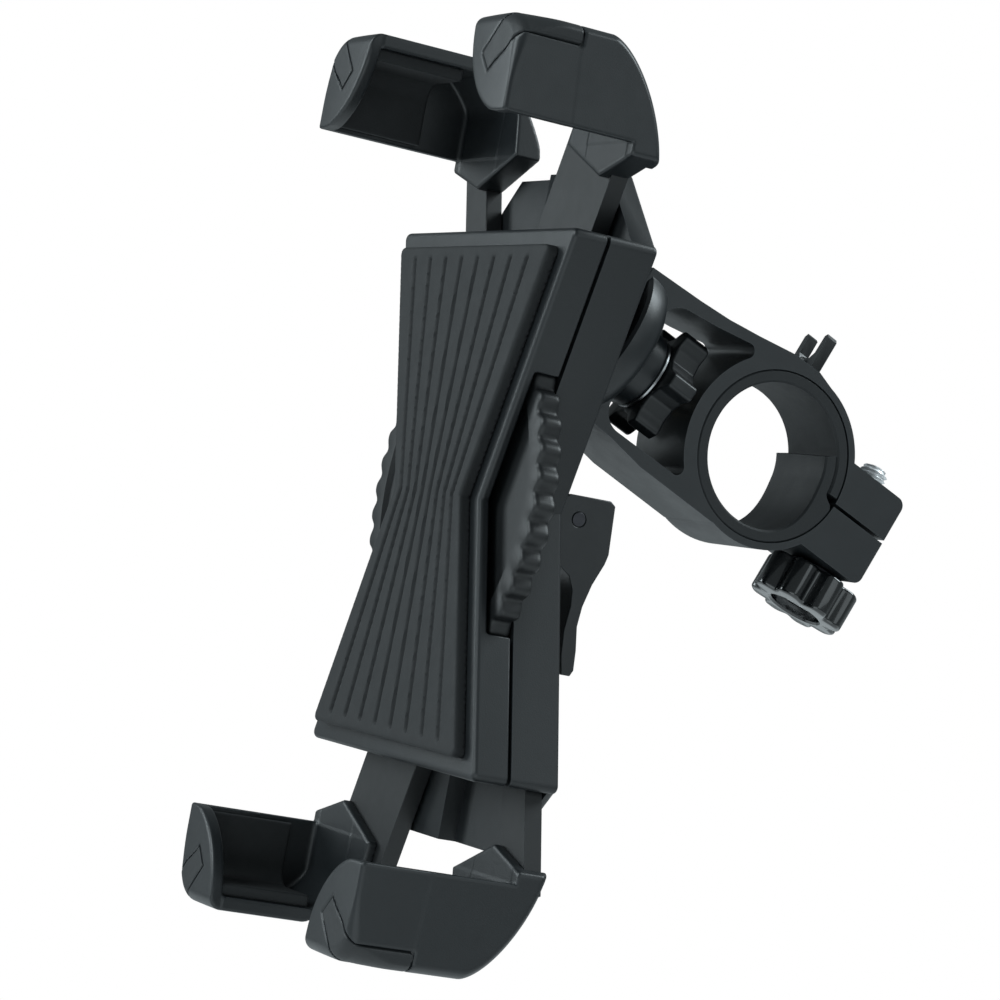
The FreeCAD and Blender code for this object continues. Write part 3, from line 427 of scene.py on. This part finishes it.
def claw_outer(x, y, z, back):
    """A claw's outer form: side face, rounded top edge, curved back and crowned front."""
    u = np.maximum(y - (back - CURVE_Y), 0.0) / CURVE_Y
    w = np.maximum(z - (CLAW_H - CURVE_Z), 0.0) / CURVE_Z
    level = (u ** CURVE_POWER + w ** CURVE_POWER + 1e-9) ** (1 / CURVE_POWER)
    slope_u = (u + 1e-9) ** (CURVE_POWER - 1) * level ** (1 - CURVE_POWER) / CURVE_Y
    slope_w = (w + 1e-9) ** (CURVE_POWER - 1) * level ** (1 - CURVE_POWER) / CURVE_Z
    top = (level - 1) / np.maximum(np.hypot(slope_u, slope_w), 0.03)
    nose = smooth_step((NOSE_FROM - y) / NOSE_SPAN)
    parting = smooth_step((PARTING_Y + PARTING_LEAN * (PARTING_H - z) - y) / PARTING_BLUR + 0.5)
    body = rounded_and(x - CLAW_X - FACET, top, TOP_ROUND + FACET + NOSE_ROUND * nose)
    body = rounded_and(body, x - CLAW_X + PARTING_STEP * parting, CRISP)
    front = LIP_FACE - y + LIP_CROWN * ((x - LIP_MID) / LIP_HALF) ** 2
    front = front + LIP_LEAN * np.maximum(z - LIP_LEAN_FROM, 0.0)
    edge = LIP_EDGE + LIP_EDGE_MORE * smooth_step((z - LIP_EDGE_FROM) / LIP_EDGE_SPAN)
    return rounded_and(body, front, edge)


def accent_band(x, y, z):
    """Negative inside the strip that sweeps over the front corner and along the top edge."""
    across = (x - CLAW_X) + (CLAW_H - z)
    inward = -(x - CLAW_X) - (z - CLAW_H)
    upper = ACCENT_OUT + ACCENT_FLARE * smooth_step((ACCENT_FLARE_AT - inward) / ACCENT_FLARE_SPAN)
    band = all_of(across - upper, ACCENT_IN - across) * ACROSS_TO_DISTANCE
    return all_of(band, (inward - ACCENT_REACH) * ACROSS_TO_DISTANCE, y - ACCENT_END)


def claw_surfaces(kind):
    """Distance fields of a claw, its accent strip and its rubber pad, and the claw's rear depth."""
    depth0, depth1 = ARM_DEPTHS[kind]
    back, wall = depth1 + REAR_WALL, depth1 - BACK_WALL
    sin_s, cos_s = math.sin(SPLAY), math.cos(SPLAY)

    def solid(x, y, z):
        outer = claw_outer(x, y, z, back)
        pocket = all_of(rounded_and(x - POCKET_X, z - POCKET_H, POCKET_ROUND), outer + WALL)
        pocket = rounded_and(pocket, all_of(LIP_BACK - y, y - wall), POCKET_ROUND)
        form = cut(outer, pocket)
        form = cut(form, all_of(x - CLAW_INNER, y - wall), RIM_ROUND)
        form = cut(form, all_of(z - CLAW_LOW, y - wall), RIM_ROUND)
        beyond_lip = LIP_R - np.hypot(x - CLAW_X, z - CLAW_H)
        form = cut(form, all_of(beyond_lip, y - LIP_BACK), LIP_ROUND)
        lug = all_of(*((z0 - z) * nz + (x0 - x) * nx for x0, z0, nx, nz in LUG_LINES))
        form = cut(form, all_of(-lug, wall - y), LUG_ROUND)
        chamfer = all_of((x + z - CHAMFER_SUM) * DIAGONAL, z - CHAMFER_H)
        form = cut(form, all_of(chamfer, depth1 - y), CHAMFER_ROUND)
        side = z * sin_s - x * cos_s if kind == "front" else x * cos_s - z * sin_s
        bar = all_of(side - ARM_OUT, ARM_NEAR[kind] - side, x * sin_s + z * cos_s - ARM_TIP)
        form = cut(form, all_of(bar, depth0 - y, y - depth1))
        behind = all_of(bar, depth1 - SLOT_LAP - y)
        form = cut(form, all_of(behind, x - BRIDGE_X), SLOT_ROUND)
        thin = -claw_outer(x, np.full_like(y, depth1 + LEAST_BRIDGE), z, back)
        form = cut(form, all_of(behind, thin), SLOT_ROUND)
        return cut(form, all_of(accent_band(x, y, z) - ACCENT_GAP, -outer - ACCENT_RECESS))

    def strip(x, y, z):
        outer = claw_outer(x, y, z, back)
        return rounded_and(all_of(outer, -outer - ACCENT_T), accent_band(x, y, z), CRISP)

    def pad(x, y, z):
        outer = claw_outer(x, y, z, back)
        form = all_of(outer + WALL + PAD_GAP, x - POCKET_X, z - POCKET_H)
        form = cut(form, rounded_and(x - PAD_X, z - PAD_H, PAD_CORNER))
        ends = all_of(LIP_BACK + PAD_LIP_GAP - y, y - PAD_BACK, PAD_INNER - x, CLAW_LOW + PAD_LOW_GAP - z)
        return rounded_and(form, ends, PAD_ROUND)

    return solid, strip, pad, back


def corner_copy(mesh, name, sign_x, sign_z):
    """A copy of a mesh mirrored to one corner of the cradle."""
    made = mesh.copy()
    made.name = name
    made.transform(Matrix.Translation(CRADLE_SHIFT) @ Matrix.Diagonal((sign_x, 1.0, sign_z, 1.0)))
    if sign_x * sign_z < 0:
        made.flip_normals()
    return made


def make_claws():
    for kind in ("front", "back"):
        solid, strip, pad, back = claw_surfaces(kind)
        nets = {"claw": (solid, (11.0, -9.6, 50.5), (37.6, back + 1.0, 74.8), CLAW_STEP),
                "accent": (strip, (20.0, -9.6, 58.0), (37.6, 4.0, 74.8), FINE_STEP),
                "pad": (pad, (20.0, -7.0, 57.5), (36.0, 10.6, 72.4), FINE_STEP)}
        meshes = {part: net_mesh(part + "_" + kind, *net) for part, net in nets.items()}
        for corner, (which, sign_x, sign_z) in CORNERS.items():
            if which == kind:
                for part, mesh in meshes.items():
                    node = part + "_" + corner
                    name = node + "_shape"
                    place_piece(name, corner_copy(mesh, name, sign_x, sign_z), node, 50.0)


# ---- turned and lobed parts, in the clamp's frame: x along the bar, u along the arm, v up ----
TILT, SCREW_U = math.radians(22.7), 22.35
CLAMP_TURN = Matrix.Rotation(-TILT, 4, "X")
ALONG_U = Matrix.Rotation(-math.pi / 2, 4, "X")
AT_SCREW = CLAMP_TURN @ Matrix.Translation(Vector((0, SCREW_U, 0)) * MM)
SCREW_R, BOLT_BORE_R = 2.5, 1.9


def ring_solid(name, outline, sections, steps):
    """Closed mesh about Z. A section is (inset from the outline or None, radius, height)."""
    points = []
    for inset, radius, height in sections:
        for i in range(steps):
            angle = 2 * math.pi * i / steps
            reach = radius if inset is None else outline(angle) - inset
            points.append((reach * math.cos(angle), reach * math.sin(angle), height))
    return outward_mesh(name, points, tube_faces(len(sections), steps, joined=True))


def lobes(root, tip, count, narrow):
    """Outline with round lobes; a larger last value makes the valleys narrower."""
    def outline(angle):
        dip = 0.5 - 0.5 * math.cos(count * angle)
        return tip - (tip - root) * dip ** narrow
    return outline


def polar_outline(corners, count, phase):
    """Outline through (degrees, radius) corners repeated round the circle, with straight sides."""
    pitch = 360.0 / count

    def outline(angle):
        at = (math.degrees(angle) - phase - corners[0][0]) % pitch + corners[0][0]
        row = corners + [(corners[0][0] + pitch, corners[0][1])]
        for (a, ra), (b, rb) in zip(row, row[1:]):
            if a <= at <= b:
                a0, b0, t0 = math.radians(a), math.radians(b), math.radians(at)
                return ra * rb * math.sin(b0 - a0) / (ra * math.sin(t0 - a0) + rb * math.sin(b0 - t0))
        return corners[0][1]
    return outline


def blurred(outline, width):
    """The same outline with its corners rounded by averaging over a few degrees."""
    spread = [math.radians(width * k / 4) for k in range(-4, 5)]
    return lambda angle: sum(outline(angle + d) for d in spread) / len(spread)


def rounded_rim(r_in, bottom, top, edge, dish=0.0, dish_r=0.0):
    """Sections of a disc with a bore, rounded rims and an optional dished lower face."""
    sections = [(None, r_in, bottom + dish)]
    if dish:
        sections += [(None, dish_r - 0.6, bottom + dish), (None, dish_r, bottom + dish - 0.5),
                     (None, dish_r, bottom + 0.35), (None, dish_r + 0.35, bottom)]
    quarter = [math.pi / 2 * k / 5 for k in range(6)]
    sections += [(edge * (1 - math.sin(a)), 0, bottom + edge * (1 - math.cos(a))) for a in quarter]
    sections += [(edge * (1 - math.cos(a)), 0, top - edge * (1 - math.sin(a))) for a in quarter]
    return sections + [(None, r_in, top)]


def make_knobs():
    """The clamp's knob with its dished face, and the star nut in the window."""
    knob_rim = rounded_rim(r_in=2.52, bottom=-16.9, top=-10.0, edge=0.7, dish=3.4, dish_r=4.7)
    knob = ring_solid("clamp_knob_shape", lobes(root=6.9, tip=8.6, count=8, narrow=2.0), knob_rim, 320)
    knob.transform(AT_SCREW)
    place_piece("clamp_knob_shape", knob, "clamp_knob")
    star = polar_outline([(-6.8, 10.1), (6.8, 10.1), (13.0, 8.0), (30.0, 6.9), (47.0, 8.0)], 6, 3.0)
    nut_rim = rounded_rim(r_in=3.62, bottom=-23.9, top=-18.8, edge=0.45)
    nut = ring_solid("star_nut_shape", blurred(star, 2.2), nut_rim, 360)
    nut.transform(CLAMP_TURN @ ALONG_U)
    place_piece("star_nut_shape", nut, "star_nut", 50.0)


def make_wheel():
    """The thumb wheel: a scalloped rim, a thinner web and a hub."""
    scallops = 42
    front, rear, web_front, web_rear = 12.0, 15.8, 12.8, 15.0
    bore, hub, hub_foot, web_edge, rim_in = 5.35, 9.0, 9.4, 26.2, 26.6
    faces = [(bore, front), (hub, front), (hub_foot, web_front), (web_edge, web_front), (rim_in, front)]
    rim = [(0.8, front), (0.3, 12.15), (0.05, 12.5), (0.0, 13.0),
           (0.0, 14.8), (0.05, 15.3), (0.3, 15.65), (0.8, rear)]
    backs = [(rim_in, rear), (web_edge, web_rear), (hub_foot, web_rear), (hub, rear), (bore, rear)]
    sections = [(None, radius, height) for radius, height in faces]
    sections += [(inset, 0, height) for inset, height in rim]
    sections += [(None, radius, height) for radius, height in backs]
    outline = lobes(root=29.75, tip=30.97, count=scallops, narrow=1.3)
    wheel = ring_solid("thumb_wheel_shape", outline, sections, scallops * 12)
    wheel.transform(Matrix.Translation(CRADLE_SHIFT) @ ALONG_U)
    place_piece("thumb_wheel_shape", wheel, "thumb_wheel", 50.0)


def make_bolt():
    """The clamp screw: a rolled thread up to its domed end, and a hexagon head with a bore."""
    pitch, depth, steps, rows_per_turn = 0.8, 0.40, 40, 10
    start, thread_from, end = -13.5, -8.0, 11.8
    rows = int((end - start) / pitch * rows_per_turn)
    points = []
    for row in range(rows + 1):
        height = start + (end - start) * row / rows
        dome = max(0.0, 1.0 - (end - height)) ** 2 * 0.8
        for i in range(steps):
            phase = (height / pitch - i / steps) % 1.0
            valley = depth * min(1.0, abs(phase - 0.5) * 2.8) if height > thread_from else 0.0
            reach, angle = SCREW_R - valley - dome, 2 * math.pi * i / steps
            points.append((reach * math.cos(angle), reach * math.sin(angle), height))
    thread = outward_mesh("clamp_bolt_thread", points, tube_faces(rows + 1, steps))
    thread.transform(AT_SCREW)
    place_piece("clamp_bolt_thread", thread, "clamp_bolt", 50.0)
    corner_r = 4.0 / math.cos(math.pi / 6)
    flats = polar_outline([(-30.0, corner_r), (30.0, corner_r)], 6, 30.0)
    sections = [(None, BOLT_BORE_R, -13.7), (None, BOLT_BORE_R, -15.1), (None, 2.1, -15.25),
                (0.7, 0, -15.25), (0.2, 0, -15.0), (0.0, 0, -14.6), (0.0, 0, -13.6),
                (None, BOLT_BORE_R, -13.5)]
    head = ring_solid("clamp_bolt_head", flats, sections, 72)
    head.transform(AT_SCREW)
    place_piece("clamp_bolt_head", head, "clamp_bolt", 30.0, hide=False)


def make_liner():
    """Rubber strip wound round the inside of the ring; its end laps over its start, across the slit."""
    half, corner, steps = 8.5, 0.35, 150
    outer_r, inner_r, sink = 14.48, 12.35, 2.15
    start, end = math.radians(3.2), math.radians(393.0)
    inner_from, inner_span = math.radians(300.0), math.radians(68.0)
    outer_from, outer_span = math.radians(354.5), math.radians(7.0)
    points = []
    for s in range(steps + 1):
        angle = start + (end - start) * s / steps
        outer = outer_r - sink * smooth_step((angle - outer_from) / outer_span)
        inner = inner_r - sink * smooth_step((angle - inner_from) / inner_span) * 1.08
        section = [(-half + corner, outer), (half - corner, outer), (half, outer - corner),
                   (half, inner + corner), (half - corner, inner), (corner - half, inner),
                   (-half, inner + corner), (-half, outer - corner)]
        points += [(x, reach * math.cos(angle), reach * math.sin(angle)) for x, reach in section]
    strip = outward_mesh("ring_liner_strip", points, tube_faces(steps + 1, len(section)))
    strip.transform(CLAMP_TURN)
    place_piece("ring_liner_strip", strip, "ring_liner")


def make_front_pad():
    """Rubber pad under the phone, with ribs that spread with its waisted outline."""
    slope, cosine = math.tan(SPLAY), math.cos(SPLAY)
    face, glued, half_waist, half_height, ribs = 7.35, 9.5, 16.0, 40.5, 4.5
    margin, corner, groove_depth, groove_half, groove_from = 3.0, 1.5, 0.7, 0.75, 1.6

    def surface(x, y, z):
        reach = half_waist - margin / cosine + slope * np.abs(z)
        outline = rounded_and((np.abs(x) - reach) * cosine, np.abs(z) - half_height, corner)
        across = np.abs(((x / reach * ribs) % 1.0) - 0.5) * reach / ribs
        groove = groove_depth * smooth_step((groove_half - across) / 0.5)
        groove = groove * smooth_step((-outline - groove_from) / 0.8)
        return np.maximum(rounded_and(outline, face + groove - y, 0.5), y - glued)

    mesh = net_mesh("front_pad_ribbed", surface, (-30.0, 6.4, -42.0), (30.0, 10.4, 42.0), 0.4)
    mesh.transform(Matrix.Translation(CRADLE_SHIFT))
    place_piece("front_pad_ribbed", mesh, "front_pad", 50.0)


make_claws()
make_knobs()
make_wheel()
make_bolt()
make_liner()
make_front_pad()

# ---- the other nodes: softened copies, or the CAD's own shape with a finer material ----
SOFT_WIDTH = {"clamp_frame": 0.45, "front_shell": 0.35, "back_shell": 0.4, "cam_lever": 0.5,
              "wing_screw": 0.35, "knob_washer": 0.15, "star_washer": 0.1, "cam_plate": 0.2,
              "ball_dome": 0.2, "draw_bolt": 0.2, "lever_pin": 0.1}
SOFT_WIDTH.update({"arm_" + corner: 0.25 for corner in CORNERS})
SHAPED = {"clamp_knob", "star_nut", "thumb_wheel", "clamp_bolt", "ring_liner", "front_pad"}
SHAPED.update(part + corner for part in ("claw_", "accent_", "pad_") for corner in CORNERS)

for name, node in frame["nodes"].items():
    if name in SOFT_WIDTH:
        softened(name, SOFT_WIDTH[name])
    elif name not in SHAPED:
        node.data.materials.clear()
        node.data.materials.append(MATERIALS[SLOT_OF[name]])


# ---- floor, world and lights, in metres ----
FLOOR_AT, FLOOR_R = (0, -0.03, -0.235), 0.62
WORLD_CAST, WORLD_CAST_STRENGTH = (0.84, 0.96, 1.0, 1), 0.24
COOL_LIGHT = (0.86, 0.96, 1.0)
MIDDLE = (0, -0.03, 0)
# name, place, aim, size, watts
LIGHTS = (("key", (0.05, -1.0, 0.55), MIDDLE, (0.5, 0.7), 9.0),
          ("fill", (1.0, 0.35, 0.25), MIDDLE, (0.7, 0.7), 1.6),
          ("side", (-0.8, -0.9, 0.2), (0, -0.06, 0), (0.4, 0.6), 4.0),
          ("rim", (0.15, 0.7, 0.75), MIDDLE, (0.5, 0.5), 7.0),
          ("under", (0.3, -0.2, -0.2), MIDDLE, (0.4, 0.4), 0.5))


def make_floor():
    mesh = bpy.data.meshes.new("floor")
    bm = bmesh.new()
    bmesh.ops.create_circle(bm, cap_ends=True, segments=96, radius=FLOOR_R)
    bm.to_mesh(mesh)
    bm.free()
    floor = linked("floor", mesh)
    floor.location = FLOOR_AT
    mat, tree, shader = new_material("floor_paint")
    speck = ranged(tree, noise(tree, 30.0, rough=0.5), 0.0, 1.0)
    paint = mixed(tree, speck, (0.80, 0.80, 0.80, 1), (0.83, 0.83, 0.83, 1))
    tree.links.new(paint, shader.inputs["Base Color"])
    shader.inputs["Roughness"].default_value = 0.8
    mesh.materials.append(mat)


def make_world():
    """White behind the object, and a dimmer even light on it."""
    world = bpy.data.worlds.new("studio")
    world.use_nodes = True
    tree = world.node_tree
    tree.nodes.clear()
    seen, cast = tree.nodes.new("ShaderNodeBackground"), tree.nodes.new("ShaderNodeBackground")
    seen.inputs["Color"].default_value = (1, 1, 1, 1)
    seen.inputs["Strength"].default_value = 1.0
    cast.inputs["Color"].default_value = WORLD_CAST
    cast.inputs["Strength"].default_value = WORLD_CAST_STRENGTH
    path, mix = tree.nodes.new("ShaderNodeLightPath"), tree.nodes.new("ShaderNodeMixShader")
    out = tree.nodes.new("ShaderNodeOutputWorld")
    tree.links.new(path.outputs["Is Camera Ray"], mix.inputs["Fac"])
    tree.links.new(cast.outputs["Background"], mix.inputs[1])
    tree.links.new(seen.outputs["Background"], mix.inputs[2])
    tree.links.new(mix.outputs["Shader"], out.inputs["Surface"])
    bpy.context.scene.world = world


def area_light(name, place, aim, size, watts):
    data = bpy.data.lights.new(name, "AREA")
    data.shape = "RECTANGLE"
    data.size, data.size_y = size
    data.energy = watts
    data.color = COOL_LIGHT
    lamp = linked(name, data)
    lamp.location = place
    lamp.rotation_mode = "QUATERNION"
    lamp.rotation_quaternion = (Vector(place) - Vector(aim)).to_track_quat("Z", "Y")
    lamp.visible_camera = False


make_camera()
make_floor()
make_world()
for light in LIGHTS:
    area_light(*light)

view = bpy.context.scene.view_settings
view.view_transform = "Standard"
view.look = "None"
